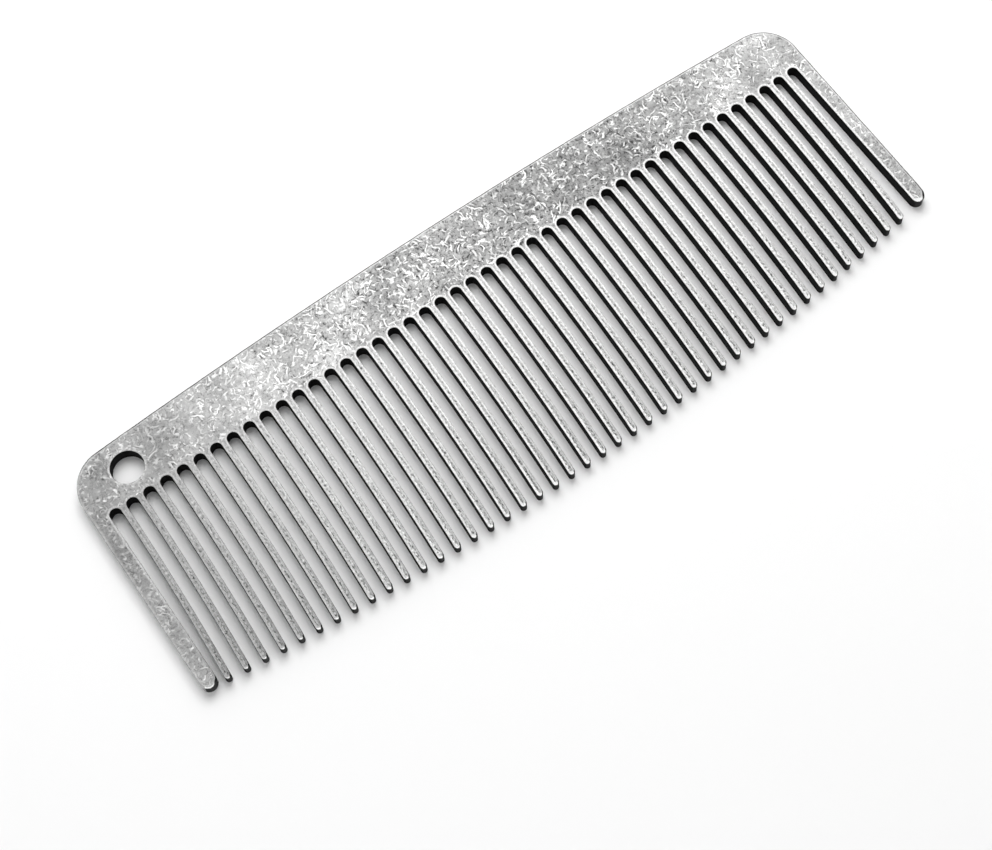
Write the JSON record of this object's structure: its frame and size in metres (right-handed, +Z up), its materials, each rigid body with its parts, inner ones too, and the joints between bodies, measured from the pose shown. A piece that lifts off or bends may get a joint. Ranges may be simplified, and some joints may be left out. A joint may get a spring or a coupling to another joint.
{
  "type": "beard comb",
  "caption": "Flat sheet-steel beard comb with an arched spine, rounded upper corners, a bowed row of fine teeth, stout end teeth and a hanging hole near one spine corner.",
  "frame": {"origin": "centre of the bounding box in plan, on the lower face (the face the comb lies on)", "axes": "+X along the spine from the hanging-hole end to the other end, +Y from the tooth tips to the spine, +Z up through the sheet thickness"},
  "size_m": [0.1016, 0.0352, 0.002],
  "materials": {
    "stonewashed_steel": "stonewashed (tumbled) satin grey steel with short random bright scratches, softly rounded edges"
  },
  "bodies": {
    "root": {"comb_blade": "stonewashed_steel"}
  },
  "joints": []
}
